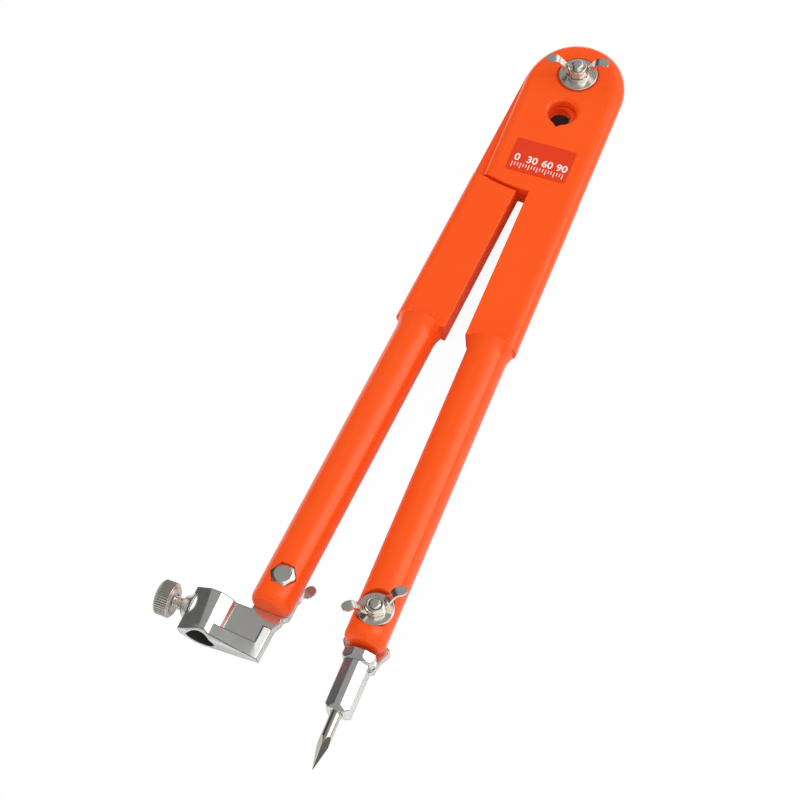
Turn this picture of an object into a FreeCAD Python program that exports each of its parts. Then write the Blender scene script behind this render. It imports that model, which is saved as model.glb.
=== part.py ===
import FreeCAD, Part
import math
import os

# Two-leg hinged carpenter's compass with a steel point and a pencil clamp.
# Millimetres.  The compass lies on its back with its front face up (+Z).  The hinge axis is the
# Z axis; the origin is on it, at the flat end of the hinge bolt's head.  The right leg runs along
# -Y; the left leg is turned about the hinge by the opening angle.

# ---- head and legs (orange plastic mouldings) ----
rest_opening_deg = 4.0
head_half_width = 16.4
head_side_drop = 5.0
head_top_drop = 2.9
head_top_ease = 1.0
head_thickness = 7.5
plate_gap = 0.2
rim_run = 4.2
rim_land = 0.1
edge_break = 0.3
shoulder_radius = 48.4
shoulder_gap = 1.2
leg_closing_gap = 0.4
leg_inner_taper = 0.4
leg_axis_shift = 0.1
block_end = 106.0
tube_radius = 6.6
flare_radius = 7.6
flare_length = 5.2
flare_rim = 0.7
root_overlap = 10.0
leg_end_round = 2.8
leg_bolt_distance = 206.5
needle_bolt_drop = 0.6
needle_bolt_side = 0.35
pencil_bolt_side = 0.6
leg_end_margin = 11.4
pencil_end_margin = 9.7

# ---- hanging hole below the hinge ----
hang_distance = 15.4
hang_radius = 4.6
hang_rear_radius = 3.7
hang_rim = 0.9

# ---- size label ----
label_width = 20.0
label_height = 12.6
label_shoulder_margin = 6.2
label_thickness = 0.15
label_round = 0.8

# ---- M4 fasteners ----
bolt_radius = 2.0
bolt_fit = 0.05
nut_fit = 0.03
hex_flats = 7.0
hex_height = 2.8
hex_chamfer = 1.0
hex_pocket_clearance = 0.12
pivot_washer_radius = 6.3
leg_washer_radius = 5.7
washer_thickness = 1.0
washer_hole_radius = 2.15
washer_pocket_clearance = 0.5
face_gap = 0.1
pivot_head_proud = 0.7
pivot_washer_sink = 0.5
leg_washer_rise = 0.5
spring_washer_radius = 3.8
spring_washer_thickness = 1.0
spring_washer_slit = 0.6
spring_washer_slit_deg = 200.0
nut_base_radius = 3.3
nut_top_radius = 3.1
nut_height = 3.0
wing_sheet = 1.0
wing_arm_width = 2.1
wing_pad_width = 3.3
wing_root = 2.4
wing_root_rise = 0.5
wing_bend = 6.6
wing_reach = 10.2
wing_rise = 6.5
thread_lead_in = 0.45
bolt_show = 0.4
pivot_bolt_show = 1.5
pivot_nut_turn_deg = 12.0
needle_nut_turn_deg = 37.0
pencil_nut_turn_deg = 50.0

# ---- cast tongues under the leg ends ----
tongue_thickness = 3.0
tongue_drop = 7.6
pencil_tongue_drop = 5.6
tongue_recess_clearance = 0.6
tongue_bolt_sink = 1.4

# ---- needle holder and needle ----
needle_tongue_width = 14.6
needle_tongue_side = 4.8
needle_shoulder_reach = 8.0
needle_shoulder_taper = 3.2
needle_axis_rise = 4.1
collar_gap = 1.4
collar_length = 3.6
collar_width = 9.8
collar_slant_run = 3.2
collar_slant_drop = 1.8
collar_bevel = 0.9
barrel_width = 7.8
barrel_slant_run = 2.9
barrel_slant_drop = 1.6
barrel_length = 17.1
barrel_end_chamfer = 1.3
gusset_inset = 0.9
gusset_run = 1.5
needle_radius = 1.8
needle_straight = 8.0
needle_point_length = 11.5
needle_tip_flat = 0.12
needle_facets = 4
needle_facet_turn_deg = 0.0
needle_seat_depth = 12.0

# ---- pencil holder ----
pencil_tongue_width = 10.8
pencil_neck_side = 4.6
pencil_neck_reach = 8.85
neck_bevel = 1.4
pencil_wall_side = 3.1
barrel_offset = 16.0
barrel_drop = 8.1
barrel_top_rise = 5.8
barrel_top_left_far = 2.4
barrel_top_left_near = 0.0
barrel_top_right_far = 0.9
barrel_top_right_near = 1.6
barrel_left_wall = 7.4
barrel_left_taper = 0.5
barrel_left_fall = 2.4
barrel_foot = 6.2
barrel_foot_slant = 4.5
barrel_ramp_reach = 4.8
barrel_ramp_fall = 2.1
pencil_bore_radius = 4.5
holder_reach = 10.45
holder_length = 15.0
holder_nose_level = 2.4
holder_nose_run = 1.5
holder_nose_fall = 2.6
holder_end_lean_deg = 13.0
holder_edge_depth = 1.3
wall_gap = 4.9
rib_thickness = 4.8
rib_end_rise = 0.5
rib_top_slope_deg = 8.0
pocket_left = 10.45
edge_strip_width = 2.65
edge_strip_fall = 0.8
screw_inset = 5.7
boss_root_reach = 6.4
boss_root_radius = 5.2
boss_end_radius = 3.0
boss_reach = 9.6
boss_chamfer = 0.4

# ---- clamp screw and knob ----
screw_radius = 2.0
screw_fit = 0.04
screw_tip_back = 0.3
knob_radius = 5.6
knob_width = 5.4
knob_gap = 2.9
knob_chamfer = 0.7
knob_grooves = 36
knob_groove_depth = 0.3
knob_dish = 0.8
knob_hub_radius = 3.0

# ---- levels and lines that follow from the sizes above ----
leg_end = leg_bolt_distance + leg_end_margin
needle_bolt_distance = leg_bolt_distance + needle_bolt_drop
label_centre_y = shoulder_radius - label_shoulder_margin - label_height / 2
needle_shoulder = leg_bolt_distance + needle_shoulder_reach
collar_start = leg_end + collar_gap
collar_end = collar_start + collar_length
barrel_end = collar_end + barrel_length
needle_taper_start = barrel_end + needle_straight
needle_tip = needle_taper_start + needle_point_length
pencil_neck_end = leg_bolt_distance + pencil_neck_reach
holder_far = leg_bolt_distance + holder_reach
holder_near = holder_far + holder_length
pencil_leg_end = leg_bolt_distance + pencil_end_margin
wall_start = pencil_leg_end + wall_gap
screw_line = holder_far + screw_inset
z_back = pivot_head_proud
pivot_seat = hex_height
z_front = z_back + head_thickness
z_mid = z_back + head_thickness / 2
leg_inner = leg_closing_gap / 2
leg_inner_low = leg_inner - leg_inner_taper
leg_axis = (leg_inner_low + head_half_width) / 2 - leg_axis_shift
needle_bolt_x = leg_axis + needle_bolt_side
pencil_bolt_x = -leg_axis + pencil_bolt_side
head_rise = head_half_width - head_top_drop
head_top_radius = head_half_width - head_top_ease
head_top_y = head_rise - head_top_radius
side_arc_rise = head_top_y + head_side_drop
side_arc_radius = (head_half_width**2 + side_arc_rise**2 - head_top_radius**2) / (2 * head_top_ease)
side_arc_deg = math.degrees(math.atan2(side_arc_rise, side_arc_radius - head_half_width))
rim_fall = head_thickness / 2 - rim_land
tongue_top = z_front - tongue_drop
tongue_bottom = tongue_top - tongue_thickness
pencil_tongue_top = z_front - pencil_tongue_drop
pencil_tongue_bottom = pencil_tongue_top - tongue_thickness
leg_washer_seat = z_front + leg_washer_rise
pivot_washer_seat = z_front - pivot_washer_sink
crest = z_mid + tube_radius
UP = FreeCAD.Vector(0, 0, 1)
DOWN = FreeCAD.Vector(0, 0, -1)
TIPWARD = FreeCAD.Vector(0, -1, 0)
ORIGIN = FreeCAD.Vector(0, 0, 0)


def vec(x, y, z=0.0):
    return FreeCAD.Vector(x, y, z)


def prism(points, z_low, z_high):
    """Straight-sided plate with the outline given as XY points."""
    corners = [vec(x, y, z_low) for x, y in points]
    corners.append(corners[0])
    face = Part.Face(Part.makePolygon(corners))
    return face.extrude(vec(0, 0, z_high - z_low))


def block(x_low, x_high, y_low, y_high, z_low, z_high):
    return Part.makeBox(x_high - x_low, y_high - y_low, z_high - z_low, vec(x_low, y_low, z_low))


def post(x, y, z_low, z_high, radius):
    return Part.makeCylinder(radius, z_high - z_low, vec(x, y, z_low), UP)


def hexagon(x, y, z_low, z_high, flats, corner_deg):
    """Hexagonal prism about an upright axis, one corner at corner_deg."""
    corner = flats / 2 / math.cos(math.radians(30))
    points = []
    for k in range(6):
        angle = math.radians(corner_deg + 60 * k)
        points.append((x + corner * math.cos(angle), y + corner * math.sin(angle)))
    return prism(points, z_low, z_high)


def head_arc(side, turn_deg):
    """Point on the oval head: turn_deg from the side towards the top."""
    angle = math.radians(turn_deg)
    if turn_deg <= side_arc_deg:
        x = head_half_width - side_arc_radius * (1 - math.cos(angle))
        y = -head_side_drop + side_arc_radius * math.sin(angle)
    else:
        x = head_top_radius * math.cos(angle)
        y = head_top_y + head_top_radius * math.sin(angle)
    return vec(side * x, y)


def leg_outline():
    """Outline of a leg's flat part: oval head, straight outer side, arc shoulder."""
    inner_y = -math.sqrt(shoulder_radius**2 - leg_inner**2)
    outer_y = -math.sqrt(shoulder_radius**2 - head_half_width**2)
    middle = math.atan2(outer_y + inner_y, leg_inner - head_half_width)
    arc_point = vec(shoulder_radius * math.cos(middle), shoulder_radius * math.sin(middle))
    w = head_half_width
    a = vec(leg_inner_low, -block_end)
    b = vec(leg_inner, inner_y)
    c = vec(-w, outer_y)
    d = head_arc(-1, 0)
    e = head_arc(-1, side_arc_deg)
    f = head_arc(1, side_arc_deg)
    g = head_arc(1, 0)
    h = vec(w, -block_end)
    edges = [
        Part.makeLine(a, b),
        Part.Arc(b, arc_point, c).toShape(),
        Part.makeLine(c, d),
        Part.Arc(d, head_arc(-1, side_arc_deg / 2), e).toShape(),
        Part.Arc(e, vec(0, head_rise), f).toShape(),
        Part.Arc(f, head_arc(1, side_arc_deg / 2), g).toShape(),
        Part.makeLine(g, h),
        Part.makeLine(h, a),
    ]
    return Part.Wire(edges)


def rim_face(z_face, outer_x, y, side, corners=9):
    """The sliver between a square outer edge at outer_x and its rounded form."""
    way = 1 if z_face > z_mid else -1
    section = [(-1, z_face + way), (rim_run, z_face + way)]
    for k in range(corners + 1):
        angle = math.pi / 2 * k / corners
        section.append((rim_run * (1 - math.sin(angle)), z_face - way * rim_fall * (1 - math.cos(angle))))
    section.append((-1, z_face - way * rim_fall))
    points = [vec(side * (outer_x - inset), y, z) for inset, z in section]
    points.append(points[0])
    return Part.Face(Part.makePolygon(points))


def rim_cutter(z_face):
    """Rounds one face's outer edge: up one side, round the oval head and down the other side."""
    length = block_end - head_side_drop + 1
    pieces = []
    for side in (1, -1):
        face = rim_face(z_face, head_half_width, -head_side_drop, side)
        pieces.append(face.extrude(vec(0, -length, 0)))
        centre = vec(side * (head_half_width - side_arc_radius), -head_side_drop)
        pieces.append(face.revolve(centre, UP, side * side_arc_deg))
    top = rim_face(z_face, head_top_radius, head_top_y, 1)
    centre = vec(0, head_top_y)
    top.rotate(centre, UP, side_arc_deg)
    pieces.append(top.revolve(centre, UP, 180 - 2 * side_arc_deg))
    return pieces


def leg_blank(end):
    """Half-lapped flat part with its fully rounded rim, and the round tube below it."""
    body = Part.Face(leg_outline()).extrude(vec(0, 0, head_thickness))
    body.translate(vec(0, 0, z_back))
    inner = [
        edge
        for edge in body.Edges
        if edge.BoundBox.XMin > -1
        and edge.BoundBox.XMax < 1
        and edge.BoundBox.ZLength < 0.01
    ]
    body = body.makeFillet(edge_break, inner)
    rims = rim_cutter(z_front) + rim_cutter(z_back)
    lap = post(0, 0, z_back - 1, z_mid + plate_gap / 2, shoulder_radius + shoulder_gap)
    return body.cut(rims).cut(lap).fuse(leg_root()).fuse(leg_tube(end))


def leg_root():
    """Solid of revolution that swells the tube into the flat part, with a rounded rim."""
    top = -block_end + flare_rim
    low = -block_end - flare_length
    swell = flare_radius - tube_radius
    hollow = (swell**2 + flare_length**2) / (2 * swell)
    half = math.asin(flare_length / hollow) / 2
    middle = vec(leg_axis + tube_radius + hollow * (1 - math.cos(half)), low + hollow * math.sin(half), z_mid)
    rim_bend = vec(leg_axis + flare_radius - flare_rim * (1 - math.sin(math.pi / 4)),
                   top - flare_rim * (1 - math.sin(math.pi / 4)), z_mid)
    axis_top = vec(leg_axis, top, z_mid)
    a = vec(leg_axis + flare_radius - flare_rim, top, z_mid)
    b = vec(leg_axis + flare_radius, top - flare_rim, z_mid)
    c = vec(leg_axis + tube_radius, low, z_mid)
    axis_low = vec(leg_axis, low, z_mid)
    profile = Part.Wire([
        Part.makeLine(axis_top, a),
        Part.Arc(a, rim_bend, b).toShape(),
        Part.Arc(b, middle, c).toShape(),
        Part.makeLine(c, axis_low),
        Part.makeLine(axis_low, axis_top),
    ])
    return Part.Face(profile).revolve(vec(leg_axis, 0, z_mid), vec(0, 1, 0), 360)


def leg_tube(end):
    """Round lower part of a leg, its core let into the flat part."""
    start = vec(leg_axis, -block_end, z_mid)
    tube = Part.makeCylinder(tube_radius, end - block_end, start, TIPWARD)
    end_edges = [edge for edge in tube.Edges if edge.BoundBox.YMax < -end + 0.01]
    tube = tube.makeFillet(leg_end_round, end_edges)
    core_start = vec(leg_axis, -block_end + root_overlap, z_mid)
    core = Part.makeCylinder(head_thickness / 2 - edge_break, root_overlap, core_start, TIPWARD)
    return tube.fuse(core)


def hang_opening(x_side):
    """Teardrop nail hole through the front plate, or the smaller round hole behind it."""
    if x_side < 0:
        return post(0, -hang_distance, z_back - 1, z_mid, hang_rear_radius)
    r = hang_radius
    half = r / math.sqrt(2)
    drop = [(-half, -hang_distance - half), (0, -hang_distance - 2 * half), (half, -hang_distance - half)]
    flank = prism(drop + [(0, -hang_distance)], z_mid, z_front + 1)
    rim = Part.makeCone(r, r + 2 * hang_rim, 2 * hang_rim, vec(0, -hang_distance, z_front - hang_rim), UP)
    return post(0, -hang_distance, z_mid, z_front + 1, r).fuse([flank, rim])


def tongue_recess(x, bolt_y, tongue_width, top):
    """Flat under a leg's end for a cast tongue, long enough for its round end to swing."""
    far = bolt_y + tongue_width / 2 + tongue_recess_clearance
    low = z_mid - tube_radius - 1
    return block(x - tube_radius - 1, x + tube_radius + 1, -leg_end - 1, far, low, top + face_gap)


def make_right_leg():
    leg = leg_blank(leg_end)
    pocket_radius = pivot_washer_radius + washer_pocket_clearance
    cuts = [
        post(0, 0, z_back, z_front + 1, bolt_radius + bolt_fit),
        post(0, 0, pivot_washer_seat, z_front + 1, pocket_radius),
        hang_opening(1),
        tongue_recess(leg_axis, -needle_bolt_distance, 2 * needle_tongue_side, tongue_top),
        post(needle_bolt_x, -needle_bolt_distance, tongue_bottom, crest + 1, bolt_radius + bolt_fit),
        post(needle_bolt_x, -needle_bolt_distance, leg_washer_seat, crest + 1,
             leg_washer_radius + washer_pocket_clearance),
    ]
    return leg.cut(cuts)


def make_left_leg():
    leg = leg_blank(pencil_leg_end)
    leg.rotate(vec(0, 0, z_mid), vec(0, 1, 0), 180)
    pocket_flats = hex_flats + 2 * hex_pocket_clearance
    cuts = [
        post(0, 0, z_back - 1, z_front, bolt_radius + bolt_fit),
        hexagon(0, 0, z_back - 1, pivot_seat, pocket_flats, 0),
        hang_opening(-1),
        tongue_recess(-leg_axis, -leg_bolt_distance, pencil_tongue_width, pencil_tongue_top),
        post(pencil_bolt_x, -leg_bolt_distance, pencil_tongue_bottom, crest + 1, bolt_radius + bolt_fit),
        hexagon(pencil_bolt_x, -leg_bolt_distance, z_front, crest + 1, pocket_flats, 0),
    ]
    return leg.cut(cuts)


def make_label():
    """Thin printed sticker on the front plate."""
    x = label_width / 2
    low = -label_centre_y - label_height / 2
    high = -label_centre_y + label_height / 2
    label = block(-x, x, low, high, z_front, z_front + label_thickness)
    corners = [edge for edge in label.Edges if edge.BoundBox.ZLength > label_thickness / 2]
    return label.makeFillet(label_round, corners)


def make_bolt(x, y, seat, end, corner_deg):
    """Hex bolt: head on one side of seat, shank running to end."""
    way = 1 if end > seat else -1
    head = hexagon(x, y, min(seat, seat - way * hex_height), max(seat, seat - way * hex_height),
                   hex_flats, corner_deg)
    corner = hex_flats / 2 / math.cos(math.radians(30))
    axis = vec(0, 0, way)
    top = vec(x, y, seat - way * hex_height)
    cone = Part.makeCone(corner - hex_chamfer * 1.5, corner + 0.4, hex_chamfer, top, axis)
    skirt = Part.makeCylinder(corner + 0.4, hex_height - hex_chamfer, top + axis * hex_chamfer, axis)
    head = head.common(cone.fuse(skirt))
    length = abs(end - seat)
    shank = Part.makeCylinder(bolt_radius, length - thread_lead_in, vec(x, y, seat), axis)
    point = Part.makeCone(
        bolt_radius, bolt_radius - thread_lead_in, thread_lead_in,
        vec(x, y, seat) + axis * (length - thread_lead_in), axis,
    )
    return head.fuse([shank, point])


def make_washer(x, y, z_low, radius):
    ring = post(x, y, z_low, z_low + washer_thickness, radius)
    ring = ring.cut(post(x, y, z_low, z_low + washer_thickness, washer_hole_radius))
    outer = [edge for edge in ring.Edges if edge.BoundBox.XLength > radius]
    return ring.makeChamfer(washer_thickness * 0.15, outer)


def make_spring_washer(x, y, z_low):
    """Split spring washer, squeezed flat, its slit cut through one side."""
    ring = post(x, y, z_low, z_low + spring_washer_thickness, spring_washer_radius)
    ring = ring.cut(post(x, y, z_low, z_low + spring_washer_thickness, washer_hole_radius))
    half = spring_washer_slit / 2
    slit = block(x, x + spring_washer_radius + 1, y - half, y + half, z_low - 1, z_low + spring_washer_thickness + 1)
    slit.rotate(vec(x, y, z_low), UP, spring_washer_slit_deg)
    return ring.cut(slit)


def make_wing():
    """One pressed wing: a steep arm and a pad bent outward at its top."""
    t = wing_sheet
    arm_side = [
        (wing_root, wing_root_rise),
        (wing_root + t * 1.2, wing_root_rise),
        (wing_bend + t * 0.4, wing_rise - t),
        (wing_reach, wing_rise - t * 1.15),
        (wing_reach, wing_rise - t * 0.15),
        (wing_bend - t * 0.55, wing_rise),
    ]
    points = [vec(x, -wing_pad_width / 2, z) for x, z in arm_side]
    points.append(points[0])
    body = Part.Face(Part.makePolygon(points)).extrude(vec(0, wing_pad_width, 0))
    arm = block(0, wing_bend, -wing_arm_width / 2, wing_arm_width / 2, 0, wing_rise + 1)
    pad_centre = wing_reach - wing_pad_width / 2
    pad = post(pad_centre, 0, 0, wing_rise + 1, wing_pad_width / 2)
    pad = pad.fuse(block(wing_bend, pad_centre, -wing_pad_width / 2, wing_pad_width / 2, 0, wing_rise + 1))
    return body.common(arm.fuse(pad))


def make_wing_nut(turn_deg):
    """Pressed-steel wing nut standing on the z=0 plane about the Z axis."""
    hub = Part.makeCone(nut_base_radius, nut_top_radius, nut_height, ORIGIN, UP)
    top = [edge for edge in hub.Edges if edge.BoundBox.ZMin > nut_height - 0.01 and edge.Closed]
    hub = hub.makeFillet(0.5, top)
    wing = make_wing()
    other = make_wing()
    other.rotate(ORIGIN, UP, 180)
    nut = hub.fuse([wing, other])
    nut = nut.cut(post(0, 0, -1, wing_rise + 1, bolt_radius + nut_fit))
    nut.rotate(ORIGIN, UP, turn_deg)
    return nut


def placed_nut(x, y, z, turn_deg, upright):
    nut = make_wing_nut(turn_deg)
    if not upright:
        nut.rotate(ORIGIN, vec(1, 0, 0), 180)
    nut.translate(vec(x, y, z))
    return nut


def chamfered_bar(width, run, drop, y_start, y_end, x, z):
    """Square bar along Y with a slant down each side of its narrow top."""
    h = width / 2
    k = h - run
    m = h - drop
    profile = [(-h, -h), (h, -h), (h, m), (k, h), (-k, h), (-h, m)]
    corners = [vec(x + a, -y_start, z + b) for a, b in profile]
    corners.append(corners[0])
    return Part.Face(Part.makePolygon(corners)).extrude(vec(0, y_start - y_end, 0))


def bevel_end(bar, y_end, half, bevel, x, z):
    """Bar with its tip-side end bevelled on all four sides."""
    keep = half * 2
    for turn in range(4):
        wedge = [
            vec(x - keep, -y_end - 0.01, z + half - bevel),
            vec(x - keep, -y_end - 0.01, z + keep),
            vec(x - keep, -y_end + bevel, z + keep),
            vec(x - keep, -y_end + bevel, z + half),
        ]
        wedge.append(wedge[0])
        cutter = Part.Face(Part.makePolygon(wedge)).extrude(vec(2 * keep, 0, 0))
        cutter.rotate(vec(x, 0, z), vec(0, 1, 0), 90 * turn)
        bar = bar.cut(cutter)
    return bar


def make_needle_holder():
    """Tongue with a captive-bolt pocket, square collar and square barrel, cast in one."""
    x = leg_axis
    z = tongue_bottom + needle_axis_rise
    half = needle_tongue_width / 2
    outline = []
    for way in (-1, 1):
        side_points = [
            (needle_bolt_x + way * needle_tongue_side, -needle_bolt_distance),
            (x + way * needle_tongue_side, -needle_shoulder + needle_shoulder_taper / 2),
            (x + way * half, -needle_shoulder),
            (x + way * half, -needle_shoulder - needle_shoulder_taper / 3),
            (x + way * collar_width / 2, -collar_start),
        ]
        outline += side_points if way < 0 else reversed(side_points)
    tongue = prism(outline, tongue_bottom, tongue_top)
    bolt_y = -needle_bolt_distance
    tongue = tongue.fuse(post(needle_bolt_x, bolt_y, tongue_bottom, tongue_top, needle_tongue_side))
    collar = chamfered_bar(collar_width, collar_slant_run, collar_slant_drop, collar_start, collar_end, x, z)
    collar = bevel_end(collar, collar_end, collar_width / 2, collar_bevel, x, z)
    barrel = chamfered_bar(barrel_width, barrel_slant_run, barrel_slant_drop, collar_start, barrel_end, x, z)
    barrel = bevel_end(barrel, barrel_end, barrel_width / 2, barrel_end_chamfer, x, z)
    side = barrel_width / 2 - gusset_inset
    web = [
        (x - side, -needle_shoulder),
        (x + half, -needle_shoulder),
        (x + collar_width / 2, -collar_end),
        (x + side, -collar_end - gusset_run),
        (x - side, -collar_end - gusset_run),
    ]
    gusset = prism(web, tongue_bottom + (tongue_thickness / 3), tongue_top)
    pocket_flats = hex_flats + 2 * hex_pocket_clearance
    cuts = [
        post(needle_bolt_x, bolt_y, tongue_bottom, tongue_top, bolt_radius + bolt_fit),
        hexagon(needle_bolt_x, bolt_y, tongue_bottom - 1, tongue_bottom + tongue_bolt_sink, pocket_flats, 0),
        Part.makeCylinder(needle_radius, needle_seat_depth, vec(x, -barrel_end, z), vec(0, 1, 0)),
    ]
    return tongue.fuse([collar, barrel, gusset]).cut(cuts)


def make_needle():
    """Hardened steel point, ground to a four-sided tip."""
    x = leg_axis
    z = tongue_bottom + needle_axis_rise
    start = -barrel_end + needle_seat_depth
    rod = Part.makeCylinder(needle_radius, start + needle_tip, vec(x, start, z), TIPWARD)
    base = []
    tip = []
    reach = needle_radius * math.sqrt(2)
    for k in range(needle_facets):
        angle = math.radians(needle_facet_turn_deg + 360 / needle_facets * k)
        base.append(vec(x + reach * math.cos(angle), -needle_taper_start, z + reach * math.sin(angle)))
        tip.append(vec(x + needle_tip_flat * math.cos(angle), -needle_tip,
                       z + needle_tip_flat * math.sin(angle)))
    base.append(base[0])
    tip.append(tip[0])
    point = Part.makeLoft([Part.makePolygon(base), Part.makePolygon(tip)], True, True)
    body = block(x - reach, x + reach, -needle_taper_start, start, z - reach, z + reach)
    return rod.common(body.fuse(point))


def holder_slab_profile():
    """Cross-section of the pencil holder's body between its plate edge and its barrel."""
    x = -leg_axis
    right = x + pencil_wall_side
    ridge = right - edge_strip_width
    left = x - barrel_offset
    z_axis = z_front - barrel_drop
    slope = math.tan(math.radians(rib_top_slope_deg))
    ridge_top = pencil_tongue_top + rib_end_rise
    top_left = min(ridge_top + slope * (ridge - left), z_axis + barrel_top_rise - rib_end_rise)
    return [
        (right, pencil_tongue_bottom - holder_edge_depth),
        (right, ridge_top - edge_strip_fall),
        (ridge, ridge_top),
        (left, top_left),
        (left, z_axis - barrel_foot),
    ]


def holder_barrel(bore_x, z_axis, floor_right):
    """Barrel round the pencil: tapered top, long slope to the pocket, thick screw wall."""
    ends = []
    for y, left, right, wall in (
        (-holder_far, -barrel_top_left_far, barrel_top_right_far, -barrel_left_wall),
        (-holder_near, -barrel_top_left_near, barrel_top_right_near, -barrel_left_wall + barrel_left_taper),
    ):
        section = [
            (left, barrel_top_rise),
            (right, barrel_top_rise),
            (barrel_ramp_reach, barrel_top_rise - barrel_ramp_fall),
            (floor_right - bore_x, pencil_tongue_top - z_axis),
            (floor_right - bore_x, -barrel_foot + barrel_foot_slant),
            (floor_right - bore_x - barrel_foot_slant, -barrel_foot),
            (wall + barrel_foot_slant, -barrel_foot),
            (wall, -barrel_foot + barrel_foot_slant),
            (wall, barrel_top_rise - barrel_left_fall),
        ]
        corners = [vec(bore_x + a, y, z_axis + b) for a, b in section]
        corners.append(corners[0])
        ends.append(Part.makePolygon(corners))
    return Part.makeLoft(ends, True, True)


def holder_nose(x_low, x_high, z_top, z_low):
    """What is cut off the tip-side end: a bevel above its nose and a lean below it."""
    lean = (holder_nose_level - z_low) * math.tan(math.radians(holder_end_lean_deg))
    outline = [
        (-holder_near - 1, z_low),
        (-holder_near + lean, z_low),
        (-holder_near, holder_nose_level),
        (-holder_near, z_top - holder_nose_fall),
        (-holder_near + holder_nose_run * (1 + 1 / holder_nose_fall), z_top + 1),
        (-holder_near - 1, z_top + 1),
    ]
    corners = [vec(x_low, b, c) for b, c in outline]
    corners.append(corners[0])
    return Part.Face(Part.makePolygon(corners)).extrude(vec(x_high - x_low, 0, 0))


def make_pencil_holder():
    """Cast clamp: tongue, shallow pocket, ribbed body, bored barrel and screw boss."""
    x = -leg_axis
    half = pencil_tongue_width / 2
    low = pencil_tongue_bottom
    floor = pencil_tongue_top
    z_axis = z_front - barrel_drop
    bore_x = x - barrel_offset
    right = x + pencil_wall_side
    ridge = right - edge_strip_width
    neck = x + pencil_neck_side
    outline = [
        (pencil_bolt_x - half, -leg_bolt_distance),
        (x - half, -holder_far),
        (bore_x, -holder_far),
        (bore_x, -holder_near),
        (ridge, -holder_near),
        (ridge, -wall_start),
        (right, -wall_start),
        (neck, -pencil_neck_end - 2 * neck_bevel),
        (neck, -pencil_neck_end - neck_bevel),
        (pencil_bolt_x + half, -pencil_neck_end),
        (pencil_bolt_x + half, -leg_bolt_distance),
    ]
    plate = prism(outline, low, floor)
    plate = plate.fuse(post(pencil_bolt_x, -leg_bolt_distance, low, floor, half))
    corners = [vec(a, -holder_near, b) for a, b in holder_slab_profile()]
    corners.append(corners[0])
    slab = Part.Face(Part.makePolygon(corners)).extrude(vec(0, holder_near - holder_far, 0))
    high = z_axis + barrel_top_rise + 5
    pocket = block(bore_x - 1, ridge, -holder_near + rib_thickness, 0, floor, high)
    barrel = holder_barrel(bore_x, z_axis, x - pocket_left)
    boss = Part.makeCone(boss_root_radius, boss_end_radius, boss_reach - boss_root_reach,
                         vec(bore_x - boss_root_reach, -screw_line, z_axis), vec(-1, 0, 0))
    lip = [edge for edge in boss.Edges if edge.BoundBox.XMax < bore_x - boss_reach + 0.01]
    boss = boss.makeChamfer(boss_chamfer, lip)
    body = slab.cut(pocket).fuse([plate, barrel, boss])
    bore = Part.makeCylinder(pencil_bore_radius, holder_near, vec(bore_x, -holder_near - 1, z_axis),
                             vec(0, 1, 0))
    nose = holder_nose(bore_x - barrel_left_wall - 1, right + 1, z_axis + barrel_top_rise,
                       z_axis - barrel_foot - 1)
    cuts = [
        bore,
        nose,
        post(pencil_bolt_x, -leg_bolt_distance, low, floor, bolt_radius + bolt_fit),
        Part.makeCylinder(screw_radius + screw_fit, boss_reach + 1, vec(bore_x, -screw_line, z_axis),
                          vec(-1, 0, 0)),
        block(x - half, right + 1, -wall_start, -holder_far + 1, floor, high),
    ]
    return body.cut(cuts)


def make_clamp_screw():
    """Threaded shank of the clamp screw, its flat end just inside the bore wall."""
    bore_x = -leg_axis - barrel_offset
    tip = bore_x - pencil_bore_radius - screw_tip_back
    inner_face = bore_x - boss_reach - knob_gap
    length = tip - inner_face + knob_width / 2
    start = vec(tip, -screw_line, z_front - barrel_drop)
    shank = Part.makeCylinder(screw_radius, length, start, vec(-1, 0, 0))
    nose = [edge for edge in shank.Edges if edge.BoundBox.XMin > tip - 0.01]
    return shank.makeChamfer(thread_lead_in, nose)


def make_clamp_knob():
    """Knurled round knob pressed on the clamp screw."""
    bore_x = -leg_axis - barrel_offset
    inner_face = bore_x - boss_reach - knob_gap
    base = vec(inner_face, -screw_line, z_front - barrel_drop)
    out = vec(-1, 0, 0)
    knob = Part.makeCylinder(knob_radius, knob_width, base, out)
    rims = [edge for edge in knob.Edges if edge.BoundBox.XLength < 0.01]
    knob = knob.makeChamfer(knob_chamfer, rims)
    dish = Part.makeCone(knob_radius - knob_chamfer - 0.5, knob_hub_radius, knob_dish, base, out)
    hub = Part.makeCylinder(knob_hub_radius, knob_dish, base, out)
    knob = knob.cut(dish).fuse(hub)
    grooves = []
    for k in range(knob_grooves):
        angle = 360 / knob_grooves * k
        notch = Part.makeCylinder(knob_groove_depth, knob_width + 2, base + vec(1, 0, knob_radius), out)
        notch.rotate(base, out, angle)
        grooves.append(notch)
    knob = knob.cut(grooves)
    socket = Part.makeCylinder(screw_radius + screw_fit, knob_width / 2 + screw_fit, base, out)
    return knob.cut(socket)


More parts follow.
